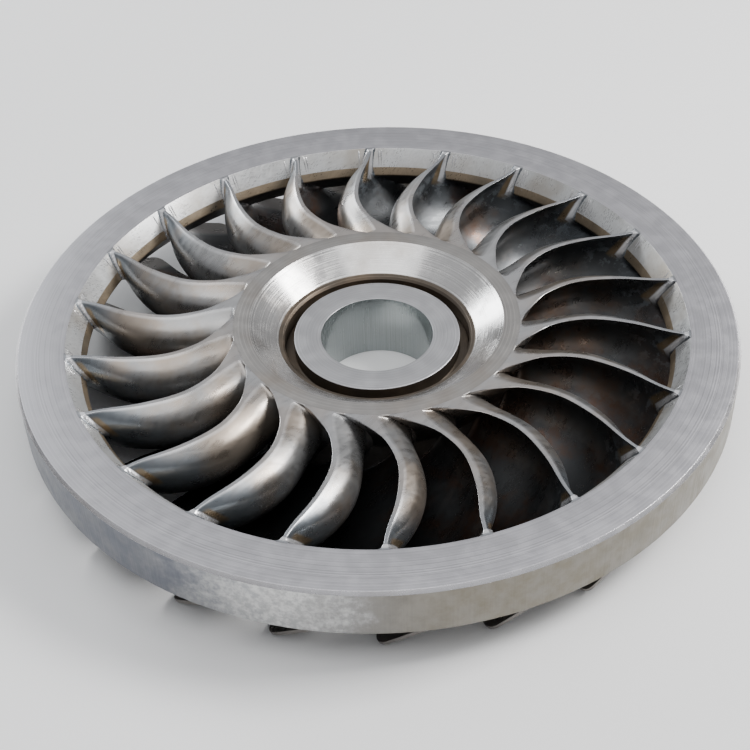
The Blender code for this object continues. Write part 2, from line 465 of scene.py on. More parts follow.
@dataclass(frozen=True)
class RimFinish(SteelFinish):
    """The ring's outer wall: mottled steel, blued on one side and oxidised on the other, with a
    painted highlight on its front.
    """

    blued: Colour = (0.15, 0.16, 0.19)
    oxide: Colour = (0.19, 0.17, 0.13)
    # Colour of the painted highlight.
    painted_highlight: Colour = (0.62, 0.62, 0.61)
    blotch: Grain = (55.0, 6.0, 0.65)
    speckle: Grain = (190.0, 5.0, 0.7)
    drift: float = 0.12
    side_step: Step = (-0.12, 0.06)
    highlight_front_step: Step = (-0.22, -0.29)
    highlight_aside: float = -0.085
    highlight_step: Step = (0.09, 0.01)
    speckle_step: Step = (0.38, 0.62, 0.5, 1.0)
    plain_step: Step = (0.35, 0.65, 0.0, 0.35)

    def colour_on(self, sheet: ShaderSheet, marks: Socket) -> Socket:
        """The colour, which changes round the ring in soft zones broken up by blotches, with a
        speckled painted highlight on the front, left of the middle.

        Args:
            sheet: The tree to build in.
            marks: The fine marks; not used.

        Returns:
            The colour's socket.
        """
        x, y, _ = sheet.split(sheet.place())
        blotches = sheet.noise(*self.blotch)
        across = sheet.drifted(x, blotches, self.drift)
        side = sheet.mix(sheet.ramp(across, *self.side_step), self.blued, self.oxide)
        grey = sheet.mix(sheet.ramp(blotches, *self.plain_step), side, self.colour)
        # Painted highlight: a speckled light patch on the front of the wall, left of the middle.
        highlight_patch = sheet.product(
            sheet.ramp(sheet.distance(across, self.highlight_aside), *self.highlight_step),
            sheet.ramp(y, *self.highlight_front_step),
            sheet.ramp(sheet.noise(*self.speckle), *self.speckle_step),
        )
        return sheet.mix(highlight_patch, grey, self.painted_highlight)


@dataclass(frozen=True)
class BladeFinish(SteelFinish):
    """The cast blades: satin outside, with painted shade in the cup and towards the outlet, and
    painted highlights on the bead and the top edges.

    Its steps read cloudy noise from 0 to 1, or one of the three values that the mesh carries:
    cup (1 on the concave side), depth (below the inlet plane) and gap (from the ring's wall).
    """

    heat: Colour = (0.31, 0.245, 0.185)
    rust: Colour = (0.085, 0.052, 0.038)
    # Dark cast skin, also used as the painted shade deep down and inside the cup.
    skin_and_shade: Colour = (0.060, 0.063, 0.066)
    blued: Colour = (0.155, 0.185, 0.215)
    # Colour of the painted highlights on the bead and the top edges.
    painted_highlight: Colour = (0.80, 0.80, 0.82)
    tinge: Colour = (0.31, 0.225, 0.125)
    tip: Colour = (0.23, 0.215, 0.20)
    cloud: Grain = (13.0, 5.0, 0.6)
    fine: Grain = (95.0, 5.0, 0.65)
    blue_gap: Step = (0.075, 0.015, 0.0, 0.75)
    warm_cloud: Step = (0.42, 0.62, 0.0, 0.7)
    warm_gap: Step = (0.012, 0.045)
    depth_drift: float = 0.016
    deep_depth: Step = (0.020, 0.046)
    deep_gap: Step = (-0.008, 0.0)
    inner_cup: Step = (0.5, 0.95)
    inner_depth: Step = (0.0, 0.022, 0.30, 0.85)
    fleck_fine: Step = (0.50, 0.58, 0.0, 0.7)
    fleck_gap: Step = (0.050, 0.015)
    unflecked: Step = (0.0, 1.0, 1.0, 0.0)
    rust_cloud: Step = (0.5, 0.62)
    rust_fine: Step = (0.4, 0.6, 0.4, 1.0)
    tip_gap: Step = (0.0, -0.008)
    seam_depth: Step = (0.027, 0.019)
    tinge_gap: float = 0.0080
    tinge_reach: Step = (0.0045, 0.0015, 0.0, 0.75)
    tinge_depth: Step = (0.002, 0.006)
    bead_gap: float = 0.0032
    bead_highlight_reach: Step = (0.0026, 0.0012)
    edge_highlight_depth: Step = (0.0016, 0.0004, 0.0, 0.3)

    def colour_on(self, sheet: ShaderSheet, marks: Socket) -> Socket:
        """The colour: the outer side, then the painted shade and rust, the tip, and a painted
        highlight on the bead by the ring and along the top edges.

        Args:
            sheet: The tree to build in.
            marks: The fine marks.

        Returns:
            The colour's socket.
        """
        depth, gap = sheet.attribute("depth"), sheet.attribute("gap")
        clouds, fine = sheet.noise(*self.cloud), sheet.noise(*self.fine)
        steel = super().colour_on(sheet, marks)
        warm = self.warm_on(sheet, steel, gap, clouds)
        shade_share, dark = self.shade_and_rust_on(sheet, depth, gap, clouds, fine)
        colour = sheet.mix(shade_share, warm, dark)
        colour = sheet.mix(sheet.ramp(gap, *self.tip_gap), colour, self.tip)
        near_top = sheet.ramp(depth, *self.seam_depth)
        strip = sheet.ramp(sheet.distance(gap, self.tinge_gap), *self.tinge_reach)
        strip = sheet.product(strip, near_top, sheet.ramp(depth, *self.tinge_depth))
        # Painted highlight: lightens the weld bead by the ring and the blade's top edges.
        bead = sheet.ramp(sheet.distance(gap, self.bead_gap), *self.bead_highlight_reach)
        bead = sheet.product(bead, near_top)
        painted_highlight_share = sheet.sum("MAXIMUM", bead, sheet.ramp(depth, *self.edge_highlight_depth))
        return sheet.mix(painted_highlight_share, sheet.mix(strip, colour, self.tinge), self.painted_highlight)

    def warm_on(self, sheet: ShaderSheet, steel: Socket, gap: Socket, clouds: Socket) -> Socket:
        """The steel, blued towards the ring and with heat tint in patches away from it.

        Args:
            sheet: The tree to build in.
            steel: The bare steel's colour.
            gap: How far the point is from the ring's wall.
            clouds: The broad noise.

        Returns:
            The colour's socket.
        """
        warm = sheet.product(sheet.ramp(clouds, *self.warm_cloud), sheet.ramp(gap, *self.warm_gap))
        blued = sheet.mix(sheet.ramp(gap, *self.blue_gap), steel, self.blued)
        return sheet.mix(warm, blued, self.heat)

    def shade_and_rust_on(
        self, sheet: ShaderSheet, depth: Socket, gap: Socket, clouds: Socket, fine: Socket
    ) -> tuple[Socket, Socket]:
        """Where the painted shade lies, darker deeper down towards the outlet and inside the cup,
        with rust in clouds on the cup side, and their colour.

        Args:
            sheet: The tree to build in.
            depth: How deep the point is.
            gap: How far it is from the ring's wall.
            clouds: The broad noise.
            fine: The fine noise.

        Returns:
            The share from 0 to 1 and the colour.
        """
        # Painted shade: darker with depth towards the outlet, and inside the cup.
        depth = sheet.drifted(depth, fine, self.depth_drift)
        deep = sheet.product(sheet.ramp(depth, *self.deep_depth), sheet.ramp(gap, *self.deep_gap))
        inner = sheet.ramp(sheet.attribute("cup"), *self.inner_cup)
        by_ring = sheet.ramp(gap, *self.fleck_gap)
        flecks = sheet.product(sheet.ramp(fine, *self.fleck_fine), by_ring)
        plain = sheet.ramp(flecks, *self.unflecked)
        inside = sheet.product(inner, sheet.ramp(depth, *self.inner_depth), plain)
        rust_fine = sheet.ramp(fine, *self.rust_fine)
        rusted = sheet.product(inner, sheet.ramp(clouds, *self.rust_cloud), rust_fine)
        dark = sheet.mix(rusted, self.skin_and_shade, self.rust)
        return sheet.sum("MAXIMUM", deep, inside), dark


class Finishes:
    """Every finish on the runner, built once."""

    def __init__(self) -> None:
        """Builds the materials."""
        crossed, round_axis, along = Marks.CROSSED, Marks.ROUND, Marks.ALONG
        self.face = SteelFinish(
            "ground_inlet_face", (0.47, 0.465, 0.49), 0.46, round_axis, stain=(0.40, 0.39, 0.40)
        ).build()
        self.hub_face = SteelFinish(
            "turned_hub_face", (0.40, 0.385, 0.37), 0.40, round_axis, stained=0.35
        ).build()
        self.edge = SteelFinish(
            "ground_edge", (0.42, 0.41, 0.405), 0.36, crossed, stained=0.2
        ).build()
        self.chamfer = SteelFinish(
            "bright_chamfer", (0.78, 0.77, 0.79), 0.24, round_axis, stained=0.2
        ).build()
        self.rim = RimFinish(
            "mottled_rim", (0.30, 0.30, 0.295), 0.40, along, mark_scale=700.0
        ).build()
        self.wall = SteelFinish(
            "polished_ring_wall", (0.58, 0.585, 0.585), 0.32, crossed, metal=0.6,
            stain=(0.33, 0.29, 0.235), stained=0.9, mark_depth=0.001 * MM, cloud_scale=14.0,
        ).build()
        self.wall_foot = SteelFinish(
            "stained_wall_foot", (0.34, 0.27, 0.19), 0.34, crossed, metal=0.7,
            stain=(0.16, 0.14, 0.11), stained=0.8,
        ).build()
        self.dish = SteelFinish(
            "polished_dish", (0.58, 0.57, 0.56), 0.22, round_axis,
            stain=(0.30, 0.26, 0.225), stained=0.6, mark_scale=500.0,
        ).build()
        self.groove = SteelFinish(
            "dark_groove", (0.12, 0.10, 0.08), 0.42, round_axis, stained=0.5
        ).build()
        self.boss_face = SteelFinish(
            "ground_boss_face", (0.50, 0.50, 0.515), 0.42, round_axis, stain=(0.42, 0.41, 0.41)
        ).build()
        self.bore = SteelFinish(
            "honed_bore", (0.36, 0.39, 0.39), 0.18, along, stained=0.05, mark_scale=160.0
        ).build()
        self.under = SteelFinish(
            "cast_underside", (0.16, 0.15, 0.145), 0.5, crossed, stained=0.3
        ).build()
        self.seam = SteelFinish(
            "bright_seam", (0.80, 0.80, 0.81), 0.24, crossed, stained=0.25
        ).build()
        self.blade = BladeFinish(
            "polished_cup", (0.35, 0.35, 0.35), 0.31, crossed,
            stain=(0.25, 0.225, 0.19), stained=0.35, mark_scale=220.0,
            mark_depth=0.001 * MM, cloud_scale=12.0, dent_depth=0.08 * MM,
        ).build()


def show(mesh: Mesh, name: str, replaced: Sequence[str]) -> bpy.types.Object:
    """Puts a finished mesh in the scene as a named piece.

    Args:
        mesh: The mesh, in place.
        name: The piece's name.
        replaced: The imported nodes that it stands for.

    Returns:
        The piece.
    """
    piece = bpy.data.objects.new(name, mesh)
    bpy.context.scene.collection.objects.link(piece)
    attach(piece, BODY)
    if replaced:
        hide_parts(*replaced)
    LOG.info("%s: %d faces", name, len(mesh.polygons))
    return piece


def closed(mesh: Mesh) -> Mesh:
    """Merges a mesh's doubles, turns its faces outwards and keeps only its sharp edges sharp.

    Args:
        mesh: The mesh, which is changed.

    Returns:
        The same mesh.
    """
    shape = bmesh.new()
    shape.from_mesh(mesh)
    bmesh.ops.remove_doubles(shape, verts=shape.verts, dist=MERGE_DISTANCE)
    bmesh.ops.recalc_face_normals(shape, faces=shape.faces)
    shape.to_mesh(mesh)
    shape.free()
    mesh.shade_smooth()
    mesh.set_sharp_from_angle(angle=SHARP_ANGLE)
    return mesh


def rounded(outline: Sequence[Corner], cells: int = 4) -> list[tuple[float, float]]:
    """Rounds the corners of a closed outline.

    Args:
        outline: The corners.
        cells: Cells in each rounding.

    Returns:
        The points of the rounded outline.
    """
    points = []
    count = len(outline)
    for i, (x, y, radius) in enumerate(outline):
        corner = np.array((x, y))
        before = np.array(outline[i - 1][:2]) - corner
        after = np.array(outline[(i + 1) % count][:2]) - corner
        before, after = before / np.linalg.norm(before), after / np.linalg.norm(after)
        half = math.acos(float(np.clip(before @ after, -1, 1))) / 2
        reach = radius / math.tan(half)
        start, end = corner + before * reach, corner + after * reach
        for step in range(cells + 1):
            t = step / cells
            points.append(tuple((1 - t) ** 2 * start + 2 * t * (1 - t) * corner + t**2 * end))
    return points


def loft(loops: int, count: int, base: int = 0) -> list[tuple[int, ...]]:
    """The faces between closed loops of points that follow each other, from a first point on.

    Args:
        loops: How many loops there are.
        count: How many points a loop has.
        base: The number of the first point.

    Returns:
        The numbers of the points of each face.
    """
    return [
        (low + j, low + (j + 1) % count, low + count + (j + 1) % count, low + count + j)
        for low in range(base, base + (loops - 1) * count, count)
        for j in range(count)
    ]


def paint(mesh: Mesh, zones: Sequence[Zone]) -> None:
    """Gives some faces of a mesh other finishes, one after another.

    Args:
        mesh: The mesh.
        zones: Each finish, with the rule that picks the faces that take it.
    """
    for material, where in zones:
        mesh.materials.append(material)
        index = len(mesh.materials) - 1
        for face in mesh.polygons:
            x, y, z = face.center
            if where(math.hypot(x, y), z, face.normal):
                face.material_index = index


class MeshSheet(NodeSheet):
    """A Geometry Nodes tree that makes a mesh of one material from a pattern."""

    def __init__(self, name: str, **inputs: str) -> None:
        """Makes a tree with a pattern, a material and further inputs by their kind of socket.

        Args:
            name: The tree's name.
            **inputs: The kind of socket of each further input.
        """
        super().__init__(bpy.data.node_groups.new(name, "GeometryNodeTree"))
        new_socket = self.tree.interface.new_socket
        kinds = {"Pattern": "Geometry", **inputs, "Material": "Material"}
        self.identifiers = {
            key: new_socket(key, in_out="INPUT", socket_type=f"NodeSocket{kind}").identifier
            for key, kind in kinds.items()
        }
        new_socket("Result", in_out="OUTPUT", socket_type="NodeSocketGeometry")
        self.inputs = self.add("NodeGroupInput", {}).outputs

    def end(self, geometry: Socket) -> None:
        """Ends the tree with the geometry made real, in the material.

        Args:
            geometry: What the tree has made.
        """
        real = self.add("GeometryNodeRealizeInstances", {"Geometry": geometry}).outputs[0]
        dressing = {"Geometry": real, "Material": self.inputs["Material"]}
        dressed = self.add("GeometryNodeSetMaterial", dressing).outputs[0]
        self.add("NodeGroupOutput", {"Result": dressed})

    def run(self, name: str, pattern: Mesh, **values: object) -> Mesh:
        """Runs the tree on a mesh and keeps the plain result.

        Args:
            name: The name of the blank that carries the tree.
            pattern: The mesh that the tree starts from.
            **values: The tree's other inputs by name.

        Returns:
            A plain, closed mesh.
        """
        blank = bpy.data.objects.new(name, pattern)
        bpy.context.scene.collection.objects.link(blank)
        modifier = blank.modifiers.new(name, "NODES")
        modifier.node_group = self.tree
        for key, value in values.items():
            modifier[self.identifiers[key]] = value
        graph = bpy.context.evaluated_depsgraph_get()
        mesh = bpy.data.meshes.new_from_object(blank.evaluated_get(graph))
        blank.modifiers.clear()
        bpy.data.objects.remove(blank)
        return closed(mesh)


class Lathe:
    """Turns closed profiles about the axis."""

    def __init__(self) -> None:
        """Builds the tree: the profile is swept round a circle, out along its normal."""
        self.sheet = sheet = MeshSheet("turned_body", Radius="Float", Steps="Int")
        ends = {"Radius": sheet.inputs["Radius"], "Resolution": sheet.inputs["Steps"]}
        circle = sheet.add("GeometryNodeCurvePrimitiveCircle", ends).outputs["Curve"]
        upright = sheet.add("GeometryNodeSetCurveNormal", {"Curve": circle}, mode="Z_UP").outputs[0]
        profile = sheet.add("GeometryNodeMeshToCurve", {"Mesh": sheet.inputs["Pattern"]}).outputs[0]
        curves = {"Curve": upright, "Profile Curve": profile}
        sheet.end(sheet.add("GeometryNodeCurveToMesh", curves).outputs[0])

    def turn(
        self, name: str, profile: Sequence[tuple[float, float]], steps: int, material: Material
    ) -> Mesh:
        """Turns a profile.

        Args:
            name: The name of the mesh.
            profile: The closed (radius, height) outline.
            steps: How many steps make the full turn.
            material: The finish that the whole body starts with.

        Returns:
            A plain, closed mesh.
        """
        radius = profile[0][0]
        outline = bpy.data.meshes.new(name)
        edges = [(i, (i + 1) % len(profile)) for i in range(len(profile))]
        outline.from_pydata([(r - radius, -z, 0.0) for r, z in profile], edges, [])
        return self.sheet.run(name, outline, Radius=radius, Steps=steps, Material=material)


class RoundRepeat:
    """Repeats a small shape at equal steps round the axis."""

    def __init__(self) -> None:
        """Builds the tree: a point for each copy, all on the axis, each turned a step further."""
        self.sheet = sheet = MeshSheet("round_repeat", Count="Int", First="Float", Step="Float")
        entry = sheet.inputs
        points = sheet.add("GeometryNodePoints", {"Count": entry["Count"]}).outputs[0]
        index = sheet.add("GeometryNodeInputIndex", {}).outputs[0]
        terms = {0: index, 1: entry["Step"], 2: entry["First"]}
        angle = sheet.add("ShaderNodeMath", terms, operation="MULTIPLY_ADD").outputs[0]
        turn = sheet.add("ShaderNodeCombineXYZ", {"Z": angle}).outputs[0]
        copies = {"Points": points, "Instance": entry["Pattern"], "Rotation": turn}
        sheet.end(sheet.add("GeometryNodeInstanceOnPoints", copies).outputs[0])

    def repeat(
        self, name: str, pattern: Mesh, count: int, first: float, material: Material
    ) -> Mesh:
        """Makes one plain mesh of a number of copies of a shape, the first at a given angle."""
        step = 2 * math.pi / count
        return self.sheet.run(name, pattern, Count=count, First=first, Step=step, Material=material)


@dataclass
class TurnedPart(ABC):
    """A part turned from one closed profile, with other finishes on some of its faces."""

    plan: RunnerPlan
    name: str
    slot: str
    node: str
    steps: int

    @abstractmethod
    def outline(self) -> list[Corner]:
        """The corners of the profile."""

    @abstractmethod
    def zones(self, finishes: Finishes) -> list[Zone]:
        """The finishes laid over the first one, in order, and where each of them goes."""

    def build(self, lathe: Lathe, material: Material) -> Mesh:
        """Turns the part, all in one material."""
        return lathe.turn(self.name, rounded(self.outline()), self.steps, material)

    def dress(self, mesh: Mesh, finishes: Finishes) -> bpy.types.Object:
        """Gives each machined face its finish and shows the part."""
        paint(mesh, self.zones(finishes))
        return show(mesh, self.name, [self.node])


@dataclass
class OuterRing(TurnedPart):
    """The machined ring round the blades."""

    name: str = "ring_body"
    slot: str = "ring_steel"
    node: str = "outer_ring"
    steps: int = 352
    chamfer: float = 2.5 * MM
    chamfer_round: float = 0.25 * MM
    foot_round: float = 1.0 * MM
    waist_round: float = 1.6 * MM
    waist_stain: float = 1.0 * MM
    crest: float = 0.7 * MM
    crest_depth: float = 15.0 * MM
    side_tilt: float = 0.3
    wall_tilt: float = 0.8
    flat_tilt: float = 0.95

    def outline(self) -> list[Corner]:
        """The ring's profile, with a low crest on its inner wall above the waist.

        Returns:
            The corners of the profile.
        """
        plan = self.plan
        crest = float(plan.wall_at(self.crest_depth)) - self.crest
        return [
            (plan.ring_radius - self.chamfer, plan.inlet, self.chamfer_round),
            (plan.ring_radius, plan.inlet - self.chamfer, self.chamfer_round),
            (plan.ring_radius, plan.ring_foot, self.foot_round),
            (plan.foot_inner, plan.ring_foot, self.foot_round),
            (plan.waist_radius, plan.inlet - plan.waist_depth, self.waist_round),
            (crest, plan.inlet - self.crest_depth, self.crest),
            (plan.ring_inner, plan.inlet, plan.edge_round),
        ]

    def zones(self, finishes: Finishes) -> list[Zone]:
        """The rim and its chamfer, then the wall from top to foot.

        Args:
            finishes: The finishes to use.

        Returns:
            The zones in order.
        """
        plan, side, wall, flat = self.plan, self.side_tilt, self.wall_tilt, self.flat_tilt
        middle = (plan.ring_inner + plan.ring_radius) / 2
        crest = plan.inlet - self.crest_depth
        waist = plan.inlet - plan.waist_depth - self.waist_stain
        return [
            (finishes.rim, lambda r, z, n: r > middle and n.z < side),
            (finishes.chamfer, lambda r, z, n: r > middle and side < n.z < flat),
            (finishes.wall, lambda r, z, n: r < middle and z > crest and n.z < wall),
            (finishes.wall_foot, lambda r, z, n: r < middle and waist < z <= crest),
            (finishes.under, lambda r, z, n: r < middle and z <= waist),
        ]


@dataclass
class Hub(TurnedPart):
    """The hub: a flat face with a polished dish, and a plain wall below it."""

    name: str = "hub_body"
    slot: str = "hub_steel"
    node: str = "hub_disc"
    steps: int = 352
    rim_radius: float = 106.8 * MM
    rim_round: float = 0.6 * MM
    shoulder_radius: float = 83.0 * MM
    shoulder_round: float = 2.0 * MM
    shoulder_depth: float = 19.0 * MM
    shoulder_rise: float = 0.6 * MM
    bore_radius: float = 78.5 * MM
    bore_bevel: tuple[float, float] = (1.8 * MM, 2.2 * MM)
    bevel_rounds: tuple[float, float] = (0.6 * MM, 0.4 * MM)
    foot_rounds: tuple[float, float] = (1.5 * MM, 1.0 * MM)
    margin: float = 1.0 * MM
    face_margin: float = 0.05 * MM
    side_tilt: float = 0.1

    def outline(self) -> list[Corner]:
        """The hub's profile, from the edge of its face down, in and up to the dish.

        Returns:
            The corners of the profile.
        """
        plan = self.plan
        shoulder = plan.inlet - self.shoulder_depth
        bevel, drop = self.bore_bevel
        return [
            (plan.hub_radius, plan.inlet, plan.hub_round),
            (plan.hub_radius, plan.hub_foot, self.foot_rounds[0]),
            (self.bore_radius, plan.hub_foot, self.foot_rounds[1]),
            (self.bore_radius, shoulder - drop, self.bevel_rounds[1]),
            (self.bore_radius + bevel, shoulder, self.bevel_rounds[0]),
            (self.shoulder_radius, shoulder + self.shoulder_rise, self.shoulder_round),
            (self.rim_radius, plan.inlet, self.rim_round),
        ]

    def zones(self, finishes: Finishes) -> list[Zone]:
        """The dish, the groove inside it and the wall under the face.

        Args:
            finishes: The finishes to use.

        Returns:
            The zones in order.
        """
        face, side, margin = self.plan.inlet - self.face_margin, self.side_tilt, self.margin
        rim, shoulder = self.rim_radius + margin, self.shoulder_radius + margin
        return [
            (finishes.dish, lambda r, z, n: r < rim and z < face and n.z > side),
            (finishes.groove, lambda r, z, n: r < shoulder and z < face),
            (finishes.under, lambda r, z, n: r > rim and z < face - margin),
        ]


@dataclass
class Boss(TurnedPart):
    """The bored sleeve in the middle, sunk in the dish and ringed by a groove."""

    name: str = "boss_body"
    slot: str = "boss_steel"
    node: str = "shaft_boss"
    steps: int = 264
    radius: float = 70.3 * MM
    bore: float = 47.4 * MM
    bore_margin: float = 0.3 * MM
    groove_depth: float = 33.0 * MM
    groove_round: float = 2.0 * MM
    neck: float = 1.2 * MM
    flange: float = 78.2 * MM
    flange_round: float = 0.2 * MM
    bevel: float = 0.8 * MM

    def outline(self) -> list[Corner]:
        """The boss's profile, from its face down the groove, out along the flange and back.

        Returns:
            The corners of the profile.
        """
        face, floor = self.plan.boss_face, self.plan.inlet - self.groove_depth
        return [
            (self.radius, face, self.bevel),
            (self.radius - self.neck, floor, self.groove_round),
            (self.flange, floor, self.flange_round),
            (self.flange, 0.0, self.bevel),
            (self.bore, 0.0, self.bevel),
            (self.bore, face, self.bevel),
        ]

    def zones(self, finishes: Finishes) -> list[Zone]:
        """The bore, then the groove and all that lies outside it.

        Args:
            finishes: The finishes to use.

        Returns:
            The zones in order.
        """
        face, wall = self.plan.boss_face - self.bevel, self.radius - 2 * self.neck
        return [
            (finishes.bore, lambda r, z, n: r < self.bore + self.bore_margin),
            (finishes.groove, lambda r, z, n: r > wall and z < face),
        ]


@dataclass
class BladeForm:
    """The shape of one blade, as closed sections at a run of radii.

    The gaps are in millimetres, outwards from the hub's wall or from the ring's. Buried is how
    far inside the hub's wall the first section lies, and how deep its points are at least.
    Under the ring's face no point is less deep than under_ring.
    """

    plan: RunnerPlan
    depth: float = 74.0 * MM
    tip_radius: float = 286.5 * MM
    top_blend: float = 0.12
    finger_radius: float = 147.0 * MM
    finger_clearance: float = 8.0 * MM
    root_fillet: float = 4.5 * MM
    ring_fillet: float = 4.5 * MM
    fillet_fade: float = 12.0 * MM
    tip_round: float = 9.0 * MM
    tip_cut: float = 0.03
    blend: float = 0.7 * MM
    bead_height: float = 2.1 * MM
    bead_width: float = 1.5 * MM
    bead_gap: float = 3.2 * MM
    bead_ends: SmoothCurve = SmoothCurve(((0.0, 0.25), (0.003, 1.0), (0.015, 0.9), (0.024, 0.0)))
    leading: SmoothCurve = SmoothCurve.degrees(
        (0.1200, -2.2), (0.1380, 0.6), (0.1600, 4.0), (0.1800, 4.9),
        (0.2100, 3.4), (0.2400, 0.9), (0.2595, 0.0), (0.2865, -0.8),
    )
    trailing: SmoothCurve = SmoothCurve.degrees(
        (0.1200, -16.0), (0.1700, -18.6), (0.2100, -18.8),
        (0.2450, -17.6), (0.2750, -18.2), (0.2865, -18.4),
    )
    belly_reach: SmoothCurve = SmoothCurve(
        (
            (0.1200, 0.0411), (0.1400, 0.0371), (0.1650, 0.0317), (0.1950, 0.0317),
            (0.2250, 0.0260), (0.2475, 0.0085), (0.2595, 0.0025), (0.2865, 0.0150),
        )
    )
    belly_drop: SmoothCurve = SmoothCurve(
        ((0.1200, 0.0176), (0.1800, 0.0191), (0.2250, 0.0208), (0.2595, 0.0181), (0.2865, 0.0165))
    )
    outlet_reach: SmoothCurve = SmoothCurve(
        ((0.1200, 0.0643), (0.1950, 0.0895), (0.2595, 0.0616), (0.2865, 0.0900))
    )
    outlet_slope: SmoothCurve = SmoothCurve.degrees(
        (0.1200, 23.3), (0.1950, 3.9), (0.2595, 15.4), (0.2865, 22)
    )
    edge_width: SmoothCurve = SmoothCurve(
        ((0.1200, 0.0048), (0.1500, 0.0042), (0.1950, 0.0036), (0.2595, 0.0026), (0.2865, 0.0024))
    )
    wall: SmoothCurve = SmoothCurve(((0.0, 0.0030), (0.35, 0.0062), (0.7, 0.0052), (1.0, 0.0030)))
    finger: SmoothCurve = SmoothCurve.degrees(
        (0.1215, -14.2), (0.1243, -10.4), (0.1302, -6.6), (0.1380, -2.9), (0.1470, 0.8)
    )
    finger_left: SmoothCurve = SmoothCurve(
        ((0.0, 1.0), (0.008, 0.88), (0.016, 0.55), (0.026, 0.16), (0.034, 0.0))
    )
    convex_round: SmoothCurve = SmoothCurve(
        ((0.1215, 0.0024), (0.1350, 0.0014), (0.1600, 0.0008), (0.2450, 0.0008), (0.2595, 0.0016))
    )
    concave_round: SmoothCurve = SmoothCurve(
        ((0.1215, 0.0014), (0.1400, 0.0010), (0.1550, 0.0003), (0.2500, 0.0003), (0.2595, 0.0010))
    )
    lip: float = 0.4 * MM
    strip_share: float = 0.4
    strip_cells: int = 3
    round_cells: int = 4
    wall_cells: int = 34
    even_share: float = 0.45
    crowding: float = 1.8
    cup_steps: int = 241
    cup_crowding: float = 1.25
    finger_levels: int = 9
    least_finger: float = 0.01
    finger_floor: float = 1e-4
    far_ahead: float = 1.0
    soft_limit: float = 40.0
    buried: tuple[float, float] = (1.3 * MM, 1.5 * MM)
    root_gaps: tuple[float, ...] = (-0.5, 0.0, 0.25, 0.6, 1.1, 1.8, 2.7, 3.8, 5.2, 7.0, 9.2, 11.8)
    passage_cells: int = 18
    fillets_out: float = 2.5
    ring_cells: int = 32
    ring_gaps: tuple[float, ...] = (1.2, 2.2, 3.2, 6.0, 10.0, 14.0, 18.0)
    tip_shares: tuple[float, ...] = (0.1, 0.4, 0.65, 0.82, 0.93, 1.0)
    under_ring: float = 3.0 * MM

    @property
    def shares(self) -> np.ndarray:
        """Fine steps along the wall from 0 to 1, closer together near its top."""
        return np.linspace(0.0, 1.0, self.cup_steps) ** self.cup_crowding

    def top_share(self, shares: np.ndarray) -> np.ndarray:
        """How far the wall has changed from its level top edge to its own shape, from 0 to 1."""
        return np.clip(shares / self.top_blend, 0, 1)

    def edge_shift(self, radius: float, shares: np.ndarray) -> np.ndarray:
        """How far the middle of the wall stands behind its own curve near the top edge."""
        return self.edge_width.at(radius) / 2 * (1 - self.top_share(shares))

    def middle(self, radius: float, shares: np.ndarray) -> np.ndarray:
        """The middle of the wall at a radius, as (forward, height) from the leading edge.

        Args:
            radius: The radius of the section.
            shares: Places along the wall, from 0 at its top to 1 at the outlet.

        Returns:
            The (forward, height) of each place.
        """
        behind = self.trailing.at(radius) - self.leading.at(radius)
        outlet = np.array((behind * radius, -self.depth))
        slope, reach = self.outlet_slope.at(radius), self.outlet_reach.at(radius)
        first = np.array((self.belly_reach.at(radius), -self.belly_drop.at(radius)))
        second = outlet + reach * np.array((math.cos(slope), math.sin(slope)))
        t = shares[:, None]
        curve = 3 * (1 - t) ** 2 * t * first + 3 * (1 - t) * t**2 * second + t**3 * outlet
        curve[:, 0] -= self.edge_shift(radius, shares)
        return curve

    def face(self, radius: float, side: Side, kept: float) -> np.ndarray:
        """One bare face of the wall at a radius, from its top edge down to the outlet.

        Args:
            radius: The radius of the section.
            side: Which face it is.
            kept: The share of the section that is there.

        Returns:
            The points of the face.
        """
        shares = self.shares * kept
        curve = self.middle(radius, shares)
        centre = curve + np.stack([self.edge_shift(radius, shares), 0 * shares], 1)
        along = np.gradient(centre, shares, axis=0)
        along /= np.linalg.norm(along, axis=1)[:, None]
        normal = np.stack([-along[:, 1], along[:, 0]], 1)
        blend = self.top_share(shares)[:, None]
        level = np.array((self.edge_width.at(radius), 0.0))
        thickness = level * (1 - blend) + normal * self.wall.at(shares)[:, None] * blend
        return curve + side.value * thickness / 2

    def wall_angle(self, radius: float, depths: np.ndarray) -> np.ndarray:
        """The angle of the middle of the wall at some depths."""
        curve = self.middle(radius, self.shares)
        return self.leading.at(radius) + np.interp(depths, -curve[:, 1], curve[:, 0]) / radius

    def finger_back(self, radius: float, depths: np.ndarray) -> np.ndarray:
        """How far forward the scooped side of the root finger lies, or far ahead where it ends.

        Args:
            radius: The radius of the section.
            depths: The depths to read it at.

        Returns:
            How far forward of the leading edge it is at each depth.
        """
        root, reach = self.plan.hub_radius, self.finger_radius - self.plan.hub_radius
        left = self.finger_left.at(depths)
        full = root + max(radius - root, 0.0) / np.maximum(left, self.finger_floor)
        levels = np.linspace(0.0, self.finger_left.points[-1][0], self.finger_levels)
        sweeps = []
        for level in levels:
            tip = root + self.finger_left.at(level) * reach
            here, top = self.wall_angle(tip, np.array((level, 0.0)))
            sweeps.append(here - top)
        sweep = np.interp(depths, levels, sweeps)
        angle = self.finger.at(full) + sweep * (full - root) / reach
        clear = self.wall_angle(radius, depths) - self.plan.pitch + self.finger_clearance / radius
        back = (np.maximum(angle, clear) - self.leading.at(radius)) * radius
        gone = (full > self.finger_radius) | (left < self.least_finger)
        return np.where(gone, self.far_ahead, back)

    def flare(self, gap: np.ndarray, fillet: float) -> np.ndarray:
        """How much a fillet adds to a face at a gap from the wall that it runs into."""
        near = np.clip(fillet - gap, 0.0, fillet)
        return fillet - np.sqrt(fillet**2 - near**2)

    def bead(self, gap: np.ndarray, depths: np.ndarray) -> np.ndarray:
        """How far the weld bead stands out, which follows the ring's wall at a small gap."""
        section = np.exp(-(((gap - self.bead_gap) / self.bead_width) ** 2))
        return self.bead_height * section * self.bead_ends.at(depths)

